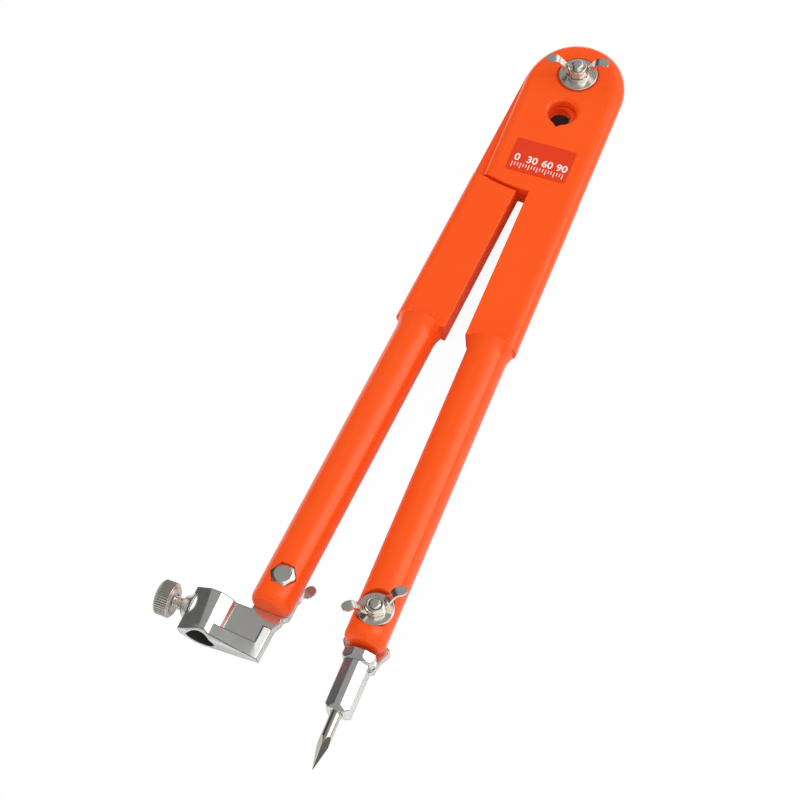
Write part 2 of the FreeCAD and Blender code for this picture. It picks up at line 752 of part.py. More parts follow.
def build():
    """Every piece of the compass, by name, in the closed position."""
    needle_y = -needle_bolt_distance
    pencil_y = -leg_bolt_distance
    needle_x = needle_bolt_x
    pencil_x = pencil_bolt_x
    pivot_spring_z = pivot_washer_seat + washer_thickness
    pivot_nut_z = pivot_spring_z + spring_washer_thickness + face_gap
    needle_nut_z = leg_washer_seat + washer_thickness + face_gap
    pencil_washer_z = pencil_tongue_bottom - washer_thickness
    pencil_spring_z = pencil_washer_z - spring_washer_thickness
    pencil_nut_z = pencil_spring_z - face_gap
    needle_seat = tongue_bottom + tongue_bolt_sink
    fixed = {
        "right_leg": make_right_leg(),
        "size_label": make_label(),
        "pivot_washer": make_washer(0, 0, pivot_washer_seat, pivot_washer_radius),
        "needle_holder": make_needle_holder(),
        "needle": make_needle(),
        "needle_bolt": make_bolt(needle_x, needle_y, needle_seat, needle_nut_z + nut_height + bolt_show, 0),
        "needle_washer": make_washer(needle_x, needle_y, leg_washer_seat, leg_washer_radius),
        "pivot_spring_washer": make_spring_washer(0, 0, pivot_spring_z),
        "needle_wing_nut": placed_nut(needle_x, needle_y, needle_nut_z, needle_nut_turn_deg, True),
    }
    turned = {
        "left_leg": make_left_leg(),
        "pivot_bolt": make_bolt(0, 0, pivot_seat, pivot_nut_z + nut_height + pivot_bolt_show, 0),
        "pivot_wing_nut": placed_nut(0, 0, pivot_nut_z, pivot_nut_turn_deg + rest_opening_deg, True),
        "pencil_holder": make_pencil_holder(),
        "pencil_bolt": make_bolt(pencil_x, pencil_y, z_front, pencil_nut_z - nut_height - bolt_show, 0),
        "pencil_washer": make_washer(pencil_x, pencil_y, pencil_washer_z, leg_washer_radius),
        "pencil_spring_washer": make_spring_washer(pencil_x, pencil_y, pencil_spring_z),
        "pencil_wing_nut": placed_nut(pencil_x, pencil_y, pencil_nut_z, -pencil_nut_turn_deg, False),
        "clamp_screw": make_clamp_screw(),
        "clamp_knob": make_clamp_knob(),
    }
    for shape in turned.values():
        shape.rotate(ORIGIN, UP, -rest_opening_deg)
    fixed.update(turned)
    return fixed


os.makedirs("parts", exist_ok=True)
for node, solid in build().items():
    solid.exportStep("parts/" + node + ".step")
    box = solid.BoundBox
    print(node, solid.isValid(), len(solid.Solids), [round(v, 1) for v in (
        box.XMin, box.XMax, box.YMin, box.YMax, box.ZMin, box.ZMax)])
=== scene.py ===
import math

import bmesh
import bpy
from mathutils import Matrix, Vector


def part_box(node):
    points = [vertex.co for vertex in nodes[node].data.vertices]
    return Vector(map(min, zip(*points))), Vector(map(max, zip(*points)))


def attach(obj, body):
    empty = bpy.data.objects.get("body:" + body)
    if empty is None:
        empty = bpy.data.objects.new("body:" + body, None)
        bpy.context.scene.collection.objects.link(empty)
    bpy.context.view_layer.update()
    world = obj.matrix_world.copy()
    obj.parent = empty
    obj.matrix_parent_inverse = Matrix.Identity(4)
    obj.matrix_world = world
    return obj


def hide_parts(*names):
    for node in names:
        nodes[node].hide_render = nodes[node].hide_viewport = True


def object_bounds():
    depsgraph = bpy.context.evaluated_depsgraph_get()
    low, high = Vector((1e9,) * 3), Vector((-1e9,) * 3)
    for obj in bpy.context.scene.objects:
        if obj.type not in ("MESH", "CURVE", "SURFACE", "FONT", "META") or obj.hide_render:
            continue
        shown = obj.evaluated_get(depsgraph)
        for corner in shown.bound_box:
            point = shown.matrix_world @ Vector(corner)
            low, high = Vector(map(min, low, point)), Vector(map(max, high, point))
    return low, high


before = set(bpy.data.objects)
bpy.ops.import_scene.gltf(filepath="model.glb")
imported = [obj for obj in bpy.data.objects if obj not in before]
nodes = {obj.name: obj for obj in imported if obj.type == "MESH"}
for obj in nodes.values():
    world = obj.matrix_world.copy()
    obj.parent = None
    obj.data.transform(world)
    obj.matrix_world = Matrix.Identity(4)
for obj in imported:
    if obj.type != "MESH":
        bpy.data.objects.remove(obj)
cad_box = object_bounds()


# ---- The bench, the studio light and the camera ----
# The compass lies on a white bench top, on the pads of its lowest wing nut. The studio is a
# pale room, dark at both ends and along its skirting, with one long soft box on the right.
# The bench has painted shade right under the hole in the head and where the compass covers it.
def feed(tree, node, inputs):
    """Links each input that gets another node's output, and sets the others' values."""
    for socket, value in inputs.items():
        if isinstance(value, bpy.types.NodeSocket):
            tree.links.new(value, node.inputs[socket])
        else:
            node.inputs[socket].default_value = value
    return node


def new_node(tree, kind, inputs=()):
    return feed(tree, tree.nodes.new(kind), dict(inputs))


def math_step(tree, kind, *values):
    step = tree.nodes.new("ShaderNodeMath")
    step.operation = kind
    return feed(tree, step, dict(enumerate(values))).outputs[0]


def ramp_between(tree, value, start, end, low, high):
    """Goes from low to high as the value goes from start to end."""
    return new_node(tree, "ShaderNodeMapRange", {
        "Value": value, "From Min": start, "From Max": end,
        "To Min": low, "To Max": high}).outputs["Result"]


def colour_between(tree, share, first, second):
    """Goes from the first colour to the second as the share goes from 0 to 1."""
    mix = tree.nodes.new("ShaderNodeMix")
    mix.data_type = "RGBA"
    return feed(tree, mix, {"Factor": share, "A": first, "B": second}).outputs["Result"]


def shaders_between(tree, share, first, second):
    return new_node(tree, "ShaderNodeMixShader", {
        0: share, 1: first.outputs[0], 2: second.outputs[0]})


bench_half = 3.0
bench_level = cad_box[0][2]
bench_mesh = bpy.data.meshes.new("bench_top")
bench_mesh.from_pydata(
    [(x * bench_half, y * bench_half, bench_level)
     for x, y in ((-1, -1), (1, -1), (1, 1), (-1, 1))],
    [], [(0, 1, 2, 3)])
bench = bpy.data.objects.new("bench_top", bench_mesh)
bpy.context.scene.collection.objects.link(bench)

bench_paint = bpy.data.materials.new("white_bench")
bench_paint.use_nodes = True
tree = bench_paint.node_tree
tree.nodes.clear()
seen = new_node(tree, "ShaderNodeLightPath").outputs
on_bench = new_node(tree, "ShaderNodeTexCoord").outputs["Object"]

# A soft dark spot painted on the bench right under the hole in the head: painted shade.
shade_middle = (-0.0042, -0.0070, bench_level)
shade_core, shade_rim = 0.0026, 0.0062
from_shade = tree.nodes.new("ShaderNodeVectorMath")
from_shade.operation = "DISTANCE"
feed(tree, from_shade, {0: on_bench, 1: shade_middle})
clear_of_shade = ramp_between(
    tree, from_shade.outputs["Value"], shade_core, shade_rim, 0.0, 1.0)
clear_of_shade.node.interpolation_type = "SMOOTHERSTEP"

# Where the ambient-occlusion test finds the bench covered, its paint turns dark and its glow dims:
# painted shade under the compass.
nook_reach = 0.04
nook = tree.nodes.new("ShaderNodeAmbientOcclusion")
nook.samples = 16
nook.inputs["Distance"].default_value = nook_reach
openness = nook.outputs["AO"]
unshaded = math_step(
    tree, "MULTIPLY", ramp_between(tree, openness, 0.26, 0.42, 0.0, 1.0), clear_of_shade)
open_air = math_step(
    tree, "MULTIPLY", ramp_between(tree, openness, 0.05, 0.15, 0.0, 0.98), clear_of_shade)

# The dark colour is the painted shade's, the white is the bench's own paint.
shaded_paint, white_paint = (0.058, 0.034, 0.03, 1), (0.93, 0.93, 0.93, 1)
paint = new_node(tree, "ShaderNodeBsdfDiffuse", {
    "Color": colour_between(tree, unshaded, shaded_paint, white_paint)})
gloom = new_node(tree, "ShaderNodeEmission", {"Color": (0.12, 0.12, 0.12, 1), "Strength": 1.0})
glow = new_node(tree, "ShaderNodeEmission", {"Color": (1, 1, 1, 1), "Strength": 1.0})
across = new_node(tree, "ShaderNodeSeparateXYZ", {0: on_bench}).outputs["X"]
far_left = ramp_between(tree, across, -0.06, -0.16, 0.0, 1.0)
in_gloss = shaders_between(
    tree, math_step(tree, "MULTIPLY", seen["Is Glossy Ray"], far_left), paint, gloom)
in_view = shaders_between(
    tree, math_step(tree, "MULTIPLY", seen["Is Camera Ray"], open_air), in_gloss, glow)
new_node(tree, "ShaderNodeOutputMaterial", {"Surface": in_view.outputs[0]})
bench_mesh.materials.append(bench_paint)

# Each wall's heading, from the far left at -1 to the far right at 1, and its brightness.
walls = [(-1.0, 0.04), (-0.62, 0.07), (-0.48, 0.26), (0.10, 0.30),
         (0.24, 0.95), (0.86, 1.0), (0.92, 0.14), (1.0, 0.1)]
blue_tinge = 1.01
skirting_level, wall_level, skirting_light = 0.07, 0.15, 0.06
studio = bpy.data.worlds.new("studio")
bpy.context.scene.world = studio
studio.use_nodes = True
tree = studio.node_tree
tree.nodes.clear()
seen = new_node(tree, "ShaderNodeLightPath").outputs
heading = new_node(tree, "ShaderNodeTexCoord").outputs["Generated"]
ways = new_node(tree, "ShaderNodeSeparateXYZ", {0: heading}).outputs
sweep = new_node(tree, "ShaderNodeValToRGB", {
    "Fac": math_step(tree, "MULTIPLY_ADD", ways["X"], 0.5, 0.5)})
sweep.color_ramp.interpolation = "LINEAR"
stops = sweep.color_ramp.elements
for stop, (where, level) in ((stops[0], walls[0]), (stops[1], walls[-1])):
    stop.position = (where + 1) / 2
    stop.color = (level, level, level, 1)
for where, level in walls[1:-1]:
    stop = stops.new((where + 1) / 2)
    stop.color = (level, level, level * blue_tinge, 1)
room = new_node(tree, "ShaderNodeBackground", {
    "Color": sweep.outputs["Color"],
    "Strength": ramp_between(tree, ways["Z"], skirting_level, wall_level, skirting_light, 1.0)})
soft = new_node(tree, "ShaderNodeBackground", {"Color": (1, 1, 1, 1), "Strength": 0.94})
white = new_node(tree, "ShaderNodeBackground", {"Color": (1, 1, 1, 1), "Strength": 1.0})
in_gloss = shaders_between(tree, seen["Is Glossy Ray"], soft, room)
in_view = shaders_between(tree, seen["Is Camera Ray"], in_gloss, white)
new_node(tree, "ShaderNodeOutputWorld", {"Surface": in_view.outputs[0]})

lamp = bpy.data.lights.new("right_soft_box", "AREA")
lamp.shape = "RECTANGLE"
lamp.size, lamp.size_y = 0.55, 1.5
lamp.energy = 5
lamp_place, lamp_aim = Vector((1.2, 0.55, 0.95)), Vector((0, -0.12, 0))
soft_box = bpy.data.objects.new("right_soft_box", lamp)
bpy.context.scene.collection.objects.link(soft_box)
soft_box.location = lamp_place
soft_box.rotation_euler = (lamp_aim - lamp_place).to_track_quat("-Z", "Y").to_euler()

lens = bpy.data.cameras.new("camera")
lens.sensor_width = 36.0
lens.sensor_fit = "HORIZONTAL"
lens.lens = 180.0
lens.clip_start = 0.05
lens.clip_end = 20.0
camera = bpy.data.objects.new("camera", lens)
bpy.context.scene.collection.objects.link(camera)
to_right = (0.9354136, 0.3502924, -0.047923)
to_top = (-0.2717595, 0.7990729, 0.5363108)
to_back = (0.2261596, -0.4886489, 0.842659)
stand = (0.26696, -0.73543, 1.04343)
camera.matrix_world = Matrix([*zip(to_right, to_top, to_back, stand), (0, 0, 0, 1)])
bpy.context.scene.camera = camera
bpy.context.scene.view_settings.view_transform = "Standard"


# ---- The two legs ----
# Solid legs injection-moulded in glossy orange plastic, half-lapped at the head. The mould
# leaves a fine parting line along the round part, and the gloss has a faint ripple.
MM = 0.001


def new_material(name):
    material = bpy.data.materials.new(name)
    material.use_nodes = True
    return material, material.node_tree, material.node_tree.nodes["Principled BSDF"]


def noise(tree, scale, detail, stretch=(1, 1, 1)):
    place = new_node(tree, "ShaderNodeTexCoord").outputs["Object"]
    lay = new_node(tree, "ShaderNodeMapping", {"Vector": place, "Scale": stretch})
    return new_node(tree, "ShaderNodeTexNoise", {
        "Vector": lay.outputs["Vector"], "Scale": scale, "Detail": detail}).outputs["Fac"]


def tint(tree, shader, grain, first, second):
    """Colours the surface between two colours, as a grain has it."""
    feed(tree, shader, {
        "Base Color": colour_between(tree, grain, (*first, 1), (*second, 1))})


def roughen(tree, shader, grain, smoothest, roughest):
    feed(tree, shader, {"Roughness": ramp_between(tree, grain, 0.3, 0.7, smoothest, roughest)})


def rounded_edges(tree, radius, samples=8):
    """A node whose normal runs round the edges, as wide as the radius in millimetres."""
    worn = tree.nodes.new("ShaderNodeBevel")
    worn.samples = samples
    worn.inputs["Radius"].default_value = radius * MM
    return worn


def paint_edge_shade(tree, shader, radius, shade, amount):
    """Paints a thin dark line along the edges: painted shade in the creases and a painted dark
    reflection along the outer edges.
    """
    face = new_node(tree, "ShaderNodeNewGeometry").outputs["True Normal"]
    alike = tree.nodes.new("ShaderNodeVectorMath")
    alike.operation = "DOT_PRODUCT"
    feed(tree, alike, {0: rounded_edges(tree, radius).outputs["Normal"], 1: face})
    at_edge = ramp_between(tree, alike.outputs["Value"], 0.90, 0.985, amount, 0.0)
    colour_without_shade = shader.inputs["Base Color"].links[0].from_socket
    feed(tree, shader, {"Base Color": colour_between(tree, at_edge, colour_without_shade, (*shade, 1))})


def relief(tree, shader, grain, strength, depth, under=None):
    """Presses a grain into the surface to a depth in millimetres, over what is under it."""
    bump = new_node(tree, "ShaderNodeBump", {
        "Height": grain, "Strength": strength, "Distance": depth * MM})
    if under:
        feed(tree, bump, {"Normal": under.outputs["Normal"]})
    feed(tree, shader, {"Normal": bump.outputs["Normal"]})
    return bump


parting_level = 4.45 * MM
line_core, line_rim = 0.03 * MM, 0.12 * MM
orange, tree, shader = new_material("orange_plastic")
tint(tree, shader, noise(tree, 22, 3), (0.97, 0.085, 0.006), (1.0, 0.099, 0.009))
roughen(tree, shader, noise(tree, 240, 4), 0.15, 0.25)
shader.inputs["IOR"].default_value = 1.5
shader.inputs["Specular Tint"].default_value = (1.0, 0.72, 0.5, 1)
ripple = relief(tree, shader, noise(tree, 260, 2), 0.06, 0.1, rounded_edges(tree, 0.7, 6))
on_leg = new_node(tree, "ShaderNodeTexCoord").outputs["Object"]
level = new_node(tree, "ShaderNodeSeparateXYZ", {0: on_leg}).outputs["Z"]
off_line = math_step(tree, "ABSOLUTE", math_step(tree, "SUBTRACT", level, parting_level))
parting_line = ramp_between(tree, off_line, line_core, line_rim, 1, 0)
relief(tree, shader, parting_line, 0.5, 0.06, ripple)


def new_piece(name, mesh, *materials):
    piece = bpy.data.objects.new(name, mesh)
    bpy.context.scene.collection.objects.link(piece)
    mesh.materials.clear()
    for material in materials:
        mesh.materials.append(material)
    return piece


def smooth_skin(mesh, crease):
    """Shades a mesh smooth, but for its edges sharper than a crease in degrees."""
    mesh.polygons.foreach_set("use_smooth", [True] * len(mesh.polygons))
    mesh.set_sharp_from_angle(angle=math.radians(crease))
    return mesh


def joined_copy(node, name, material, crease=28, flat=None):
    """A node's surface as one joined skin, its almost flat faces made one where flat is given."""
    shape = bmesh.new()
    shape.from_mesh(nodes[node].data)
    bmesh.ops.remove_doubles(shape, verts=shape.verts, dist=0.002 * MM)
    if flat:
        bmesh.ops.dissolve_limit(
            shape, angle_limit=math.radians(flat), verts=shape.verts, edges=shape.edges)
    shape.verts.index_update()
    spots = [vert.co.copy() for vert in shape.verts]
    faces = [[vert.index for vert in face.verts] for face in shape.faces]
    shape.free()
    mesh = bpy.data.meshes.new(name)
    mesh.from_pydata(spots, [], faces)
    return new_piece(name, smooth_skin(mesh, crease), material)


def evened(piece):
    """Lets the large faces of a piece keep their shading flat."""
    even = piece.modifiers.new("even_shading", "WEIGHTED_NORMAL")
    even.keep_sharp = True
    even.weight = 60
    return piece


def rounded(piece, width, corner, steps=2):
    """Rounds the edges sharper than a corner in degrees, by a width in millimetres."""
    edge = piece.modifiers.new("edge_rounding", "BEVEL")
    edge.limit_method = "ANGLE"
    edge.angle_limit = math.radians(corner)
    edge.width = width * MM
    edge.segments = steps
    edge.use_clamp_overlap = True
    edge.miter_outer = "MITER_ARC"
    return evened(piece)


def fit(piece, body, finish, *stands_for):
    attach(piece, body)
    if stands_for:
        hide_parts(*stands_for)


for side, body in (("right", "needle_leg"), ("left", "pencil_leg")):
    leg = evened(joined_copy(side + "_leg", side + "_leg_moulding", orange))
    fit(leg, body, "orange_plastic", side + "_leg")


# ---- The label ----
# A thin red film stuck on the front plate, printed in white with a plain scale: a row of
# numbers and, under it, a row of strokes. The print lies on the film as a thin layer of ink.
label_film, tree, shader = new_material("label_film")
tint(tree, shader, noise(tree, 70, 3), (0.74, 0.037, 0.006), (0.79, 0.044, 0.008))
roughen(tree, shader, noise(tree, 300, 3), 0.3, 0.42)
shader.inputs["IOR"].default_value = 1.42
shader.inputs["Specular Tint"].default_value = (1.0, 0.6, 0.4, 1)
relief(tree, shader, noise(tree, 160, 3), 0.12, 0.1)
film = evened(joined_copy("size_label", "label_film", label_film))
fit(film, "needle_leg", "label_print", "size_label")

white_ink, tree, shader = new_material("white_ink")
tint(tree, shader, noise(tree, 900, 3), (0.86, 0.83, 0.80), (0.93, 0.91, 0.89))
roughen(tree, shader, noise(tree, 500, 3), 0.38, 0.5)
relief(tree, shader, noise(tree, 1500, 2), 0.1, 0.05)

ink_depth = 0.02 * MM
label_low, label_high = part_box("size_label")
label_middle = (label_low + label_high) / 2
ink_level = label_high[2] + ink_depth / 2


def stand_at(mesh, x, y, z):
    mesh.transform(Matrix.Translation((x, y, z)))


def baked(piece):
    """The piece's finished shape as a plain mesh, with no modifier or curve left."""
    graph = bpy.context.evaluated_depsgraph_get()
    mesh = bpy.data.meshes.new_from_object(piece.evaluated_get(graph))
    name = piece.name
    bpy.data.objects.remove(piece)
    mesh.name = name
    return mesh


number_height, number_row = 2.7, -2.3
type_size_per_height = 1.38
for text, across in (("0", -7.6), ("30", -2.6), ("60", 2.5), ("90", 7.4)):
    line = bpy.data.curves.new("number_" + text, "FONT")
    line.body = text
    line.size = number_height * MM * type_size_per_height
    line.align_x = "CENTER"
    line.extrude = ink_depth / 2
    line.offset = 0.06 * MM
    line.resolution_u = 4
    raised = bpy.data.objects.new("number_" + text, line)
    bpy.context.scene.collection.objects.link(raised)
    mesh = baked(raised)
    stand_at(mesh, label_middle[0] + across * MM, label_middle[1] + number_row * MM, ink_level)
    fit(new_piece("number_" + text, mesh, white_ink), "needle_leg", "label_print")


def geometry_tree(name, sizes):
    """A node tree with one named input for each size; returns it, its sizes and its end."""
    grown = bpy.data.node_groups.new(name, "GeometryNodeTree")
    for size, value in sizes.items():
        kind = "NodeSocketInt" if isinstance(value, int) else "NodeSocketFloat"
        entry = grown.interface.new_socket(size, in_out="INPUT", socket_type=kind)
        entry.default_value = value
    grown.interface.new_socket("Geometry", in_out="OUTPUT", socket_type="NodeSocketGeometry")
    return grown, new_node(grown, "NodeGroupInput").outputs, new_node(grown, "NodeGroupOutput")


def finish_tree(grown, end, geometry, material):
    real = new_node(grown, "GeometryNodeRealizeInstances", {0: geometry})
    coat = new_node(grown, "GeometryNodeSetMaterial", {
        "Geometry": real.outputs[0], "Material": material})
    feed(grown, end, {0: coat.outputs[0]})


def grow(name, grown, **sizes):
    """Runs a tree with the given sizes and returns its plain mesh."""
    holder = bpy.data.objects.new(name, bpy.data.meshes.new(name))
    bpy.context.scene.collection.objects.link(holder)
    maker = holder.modifiers.new("maker", "NODES")
    maker.node_group = grown
    for item in grown.interface.items_tree:
        if item.in_out == "INPUT" and item.name in sizes:
            maker[item.identifier] = sizes[item.name]
    return baked(holder)


def xyz(tree, x=0.0, y=0.0, z=0.0):
    return new_node(tree, "ShaderNodeCombineXYZ", {0: x, 1: y, 2: z}).outputs[0]


def shifted(tree, geometry, shift):
    return new_node(tree, "GeometryNodeTransform", {
        "Geometry": geometry, "Translation": shift}).outputs[0]


strokes, sizes, end = geometry_tree("scale_strokes", {
    "strokes": 19, "width": 17.0 * MM, "stroke_width": 0.24 * MM, "stroke_length": 1.3 * MM,
    "every_long": 3, "extra_length": 0.55, "ink": ink_depth})
row = strokes.nodes.new("GeometryNodeMeshLine")
row.mode = "END_POINTS"
feed(strokes, row, {
    "Count": sizes["strokes"],
    "Start Location": xyz(strokes, math_step(strokes, "MULTIPLY", sizes["width"], -0.5)),
    "Offset": xyz(strokes, math_step(strokes, "MULTIPLY", sizes["width"], 0.5))})
bar = new_node(strokes, "GeometryNodeMeshCube", {
    "Size": xyz(strokes, sizes["stroke_width"], sizes["stroke_length"], sizes["ink"])})
half_drop = math_step(strokes, "MULTIPLY", sizes["stroke_length"], -0.5)
number = new_node(strokes, "GeometryNodeInputIndex").outputs[0]
left_over = math_step(strokes, "MODULO", number, sizes["every_long"])
is_long = math_step(strokes, "LESS_THAN", left_over, 0.5)
longer = math_step(strokes, "MULTIPLY", is_long, sizes["extra_length"])
stamp = new_node(strokes, "GeometryNodeInstanceOnPoints", {
    "Points": row.outputs[0],
    "Instance": shifted(strokes, bar.outputs["Mesh"], xyz(strokes, y=half_drop)),
    "Scale": xyz(strokes, 1, math_step(strokes, "ADD", longer, 1.0), 1)})
finish_tree(strokes, end, stamp.outputs[0], white_ink)

stroke_row = -3.1
stroke_mesh = grow("scale_strokes", strokes)
stand_at(stroke_mesh, label_middle[0], label_middle[1] + stroke_row * MM, ink_level)
fit(new_piece("scale_strokes", stroke_mesh, white_ink), "needle_leg", "label_print")


# ---- The washers ----
# Flat washers stamped from steel sheet and bright-plated: one in the head's shallow round
# seat, one on the needle leg and one under the pencil leg. The hinge and the pencil clamp have
# a split spring washer as well.
nickel, tree, shader = new_material("bright_nickel")
tint(tree, shader, noise(tree, 110, 3), (0.87, 0.83, 0.75), (0.94, 0.91, 0.84))
shader.inputs["Metallic"].default_value = 1.0
roughen(tree, shader, noise(tree, 600, 4), 0.15, 0.27)
relief(tree, shader, noise(tree, 700, 3), 0.12, 0.06)
# Painted shade in the creases and a painted dark reflection along the edges.
paint_edge_shade(tree, shader, 0.3, (0.10, 0.09, 0.08), 0.75)


def rounded_outline(corners, steps=3):
    """Corners are (radius, height, rounding) in millimetres; roundings become short curves."""
    points = []
    total = len(corners)
    for k, (r, h, rounding) in enumerate(corners):
        here = Vector((r, h))
        if not rounding:
            points.append(here)
            continue
        back = Vector(corners[k - 1][:2]) - here
        ahead = Vector(corners[(k + 1) % total][:2]) - here
        reach = min(rounding, back.length * 0.48, ahead.length * 0.48)
        start = here + back.normalized() * reach
        end = here + ahead.normalized() * reach
        for i in range(steps + 1):
            t = i / steps
            points.append(start * (1 - t) ** 2 + here * 2 * t * (1 - t) + end * t ** 2)
    return points


def turned_vert(shape, radius, angle, height):
    """A vertex at a radius and a height in millimetres, turned about Z by an angle."""
    return shape.verts.new((
        radius * math.cos(angle) * MM, radius * math.sin(angle) * MM, height * MM))


def join_rings(shape, ring, following, closed=True):
    for i in range(len(ring) if closed else len(ring) - 1):
        j = (i + 1) % len(ring)
        shape.faces.new((ring[i], following[i], following[j], ring[j]))


def closed_skin(name, shape, crease=35):
    bmesh.ops.remove_doubles(shape, verts=shape.verts, dist=0.001 * MM)
    bmesh.ops.recalc_face_normals(shape, faces=shape.faces)
    mesh = bpy.data.meshes.new(name)
    shape.to_mesh(mesh)
    shape.free()
    return smooth_skin(mesh, crease)


def turned(name, corners, steps=72, lobes=0, lobe_depth=0.0):
    """A shape turned about Z from an outline; lobes give it soft flats."""
    outline = rounded_outline(corners)
    shape = bmesh.new()
    rings = []
    for k in range(steps):
        angle = 2 * math.pi * k / steps
        pull = 1 - lobe_depth * (1 - math.cos(lobes * angle)) / 2
        rings.append([turned_vert(shape, p.x * pull, angle, p.y) for p in outline])
    for k in range(steps):
        join_rings(shape, rings[k], rings[(k + 1) % steps])
    return closed_skin(name, shape)


def fit_hardware(name, mesh, body, node):
    fit(evened(new_piece(name, mesh, nickel)), body, "nickel_hardware", node)


washer_hole, washer_thickness = 2.15, 1.0
for place, body in (("pivot", "needle_leg"), ("needle", "needle_leg"), ("pencil", "pencil_arm")):
    node = place + "_washer"
    low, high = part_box(node)
    rim = (high[0] - low[0]) / 2 / MM
    mesh = turned(node + "_plate", [
        (washer_hole, 0, 0.12), (rim, 0, 0.25),
        (rim, washer_thickness, 0.3), (washer_hole, washer_thickness, 0.2)])
    middle = (low + high) / 2
    stand_at(mesh, middle[0], middle[1], low[2])
    fit_hardware(node + "_plate", mesh, body, node)


def split_ring(name, inner, outer, thick, gap_at, gap, twist, steps=90):
    """One turn of square spring wire, its cut ends a little out of line."""
    edge = 0.18
    section = rounded_outline([
        (inner, 0, edge), (outer, 0, edge), (outer, thick, edge), (inner, thick, edge)])
    squeeze = 1 - twist / thick
    shape = bmesh.new()
    rings = []
    for k in range(steps + 1):
        t = k / steps
        angle = math.radians(gap_at + gap / 2 + (360 - gap) * t)
        rings.append([
            turned_vert(shape, p.x, angle, p.y * squeeze + twist * t) for p in section])
    for ring, following in zip(rings, rings[1:]):
        join_rings(shape, ring, following)
    shape.faces.new(rings[0])
    shape.faces.new(list(reversed(rings[-1])))
    return closed_skin(name, shape)


spring_inner, spring_outer = 2.2, 3.8
spring_gap_at, spring_gap, spring_twist = 200.0, 9.0, 0.12
for place, body in (("pivot", "needle_leg"), ("pencil", "pencil_arm")):
    node = place + "_spring_washer"
    low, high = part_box(node)
    mesh = split_ring(node + "_ring", spring_inner, spring_outer, (high[2] - low[2]) / MM,
                      spring_gap_at, spring_gap, spring_twist)
    middle = (low + high) / 2
    stand_at(mesh, middle[0], middle[1], low[2])
    fit_hardware(node + "_ring", mesh, body, node)


# ---- The bolts ----
# Hex bolts with chamfered heads and a rolled M4 thread, plated like the washers. The hinge
# bolt's head sits in the back of the head, the needle bolt's in its tongue, and the pencil
# bolt's in a hexagonal pocket on the front of the left leg.
thread_tree, sizes, end = geometry_tree("rolled_thread", {
    "length": 10.0 * MM, "outside": 2.0 * MM, "depth": 0.36 * MM, "pitch": 0.7 * MM})
plain_ends = math_step(thread_tree, "MULTIPLY", sizes["pitch"], 1.2)
coil_length = math_step(thread_tree, "SUBTRACT", sizes["length"], plain_ends)
root = math_step(thread_tree, "SUBTRACT", sizes["outside"], sizes["depth"])
coil = new_node(thread_tree, "GeometryNodeCurveSpiral", {
    "Resolution": 30, "Height": coil_length, "Start Radius": root, "End Radius": root,
    "Rotations": math_step(thread_tree, "DIVIDE", coil_length, sizes["pitch"])})
level_coil = thread_tree.nodes.new("GeometryNodeSetCurveNormal")
level_coil.mode = "Z_UP"
feed(thread_tree, level_coil, {0: coil.outputs[0]})
ridge = thread_tree.nodes.new("GeometryNodeCurvePrimitiveCircle")
ridge.mode = "RADIUS"
feed(thread_tree, ridge, {"Resolution": 4, "Radius": sizes["depth"]})
thread = new_node(thread_tree, "GeometryNodeCurveToMesh", {
    "Curve": level_coil.outputs[0], "Profile Curve": ridge.outputs[0], "Fill Caps": True})
core = new_node(thread_tree, "GeometryNodeMeshCylinder", {
    "Vertices": 30, "Radius": root, "Depth": sizes["length"]})
thread_foot = math_step(thread_tree, "MULTIPLY", sizes["pitch"], 0.6)
core_middle = math_step(thread_tree, "MULTIPLY", sizes["length"], 0.5)
both = thread_tree.nodes.new("GeometryNodeJoinGeometry")
for solid, rise in ((thread.outputs[0], thread_foot), (core.outputs["Mesh"], core_middle)):
    feed(thread_tree, both, {0: shifted(thread_tree, solid, xyz(thread_tree, z=rise))})
finish_tree(thread_tree, end, both.outputs[0], nickel)


def hex_head(name, flats, height, top_circle, corner_at, per_side=10):
    """A chamfered hex head standing on z = 0, its top face towards +Z."""
    edge_round, corner_round, dish = 0.12, 0.10, 0.35
    chamfer = math.tan(math.radians(32))
    shape = bmesh.new()
    around = 6 * per_side
    rings = []
    for k in range(around):
        angle = math.radians(corner_at) + 2 * math.pi * k / around
        from_flat = ((k * 60 / per_side) % 60) - 30
        edge = flats / 2 / math.cos(math.radians(from_flat))
        edge -= corner_round * max(0.0, abs(from_flat) - 24) / 6
        drop = max(0.0, edge - top_circle) * chamfer
        rings.append([turned_vert(shape, r, angle, h) for r, h in (
            (0, 0), (edge - edge_round, 0), (edge, edge_round), (edge, height - drop),
            (top_circle, height), (top_circle - dish, height), (0, height))])
    for k in range(around):
        join_rings(shape, rings[k], rings[(k + 1) % around], closed=False)
    return closed_skin(name, shape, 25)


def join_meshes(name, *meshes):
    shape = bmesh.new()
    for mesh in meshes:
        shape.from_mesh(mesh)
    joined = bpy.data.meshes.new(name)
    shape.to_mesh(joined)
    shape.free()
    return smooth_skin(joined, 28)


